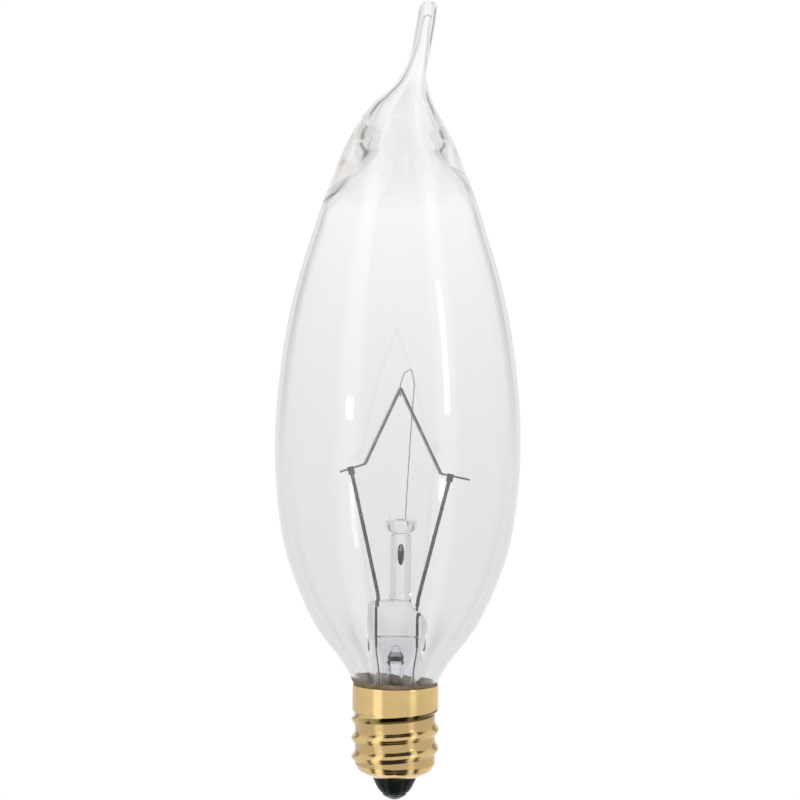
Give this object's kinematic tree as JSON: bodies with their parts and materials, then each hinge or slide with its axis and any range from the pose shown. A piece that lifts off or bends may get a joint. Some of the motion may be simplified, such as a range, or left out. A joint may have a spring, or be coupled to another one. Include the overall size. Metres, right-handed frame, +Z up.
{
  "type": "decorative incandescent bulb",
  "caption": "Clear flame-shaped incandescent bulb with a bent drawn tip, a filament on a glass stem inside and a small brass screw base.",
  "frame": {"origin": "lowest point of the centre contact, on the bulb's axis, at the screw_base mount", "axes": "+Z up along the bulb's axis from the contact to the tip, +X the way the tip bends, -Y towards the viewer of the picture"},
  "size_m": [0.0328, 0.0328, 0.107],
  "materials": {
    "clear_glass": "clear blown glass, smooth",
    "stem_glass": "clear pressed and drawn glass",
    "nickel": "bright drawn nickel wire",
    "copper": "copper-clad wire",
    "tungsten": "dull grey coiled tungsten",
    "molybdenum": "fine drawn molybdenum wire",
    "brass": "bright rolled brass",
    "black_glass": "opaque black moulded glass, glossy",
    "solder": "satin tin solder",
    "cement": "dull baked cement"
  },
  "bodies": {
    "root": {"glass_envelope": "clear_glass", "stem_flare": "stem_glass", "exhaust_tube": "stem_glass", "button_rod": "stem_glass", "left_inner_lead": "nickel", "right_inner_lead": "nickel", "left_seal_wire": "copper", "right_seal_wire": "copper", "left_outer_lead": "copper", "right_outer_lead": "copper", "filament": "tungsten", "support_wire": "molybdenum", "screw_shell": "brass", "base_insulator": "black_glass", "centre_contact": "brass", "centre_solder": "solder", "side_solder": "solder", "base_cement": "cement"}
  },
  "joints": []
}
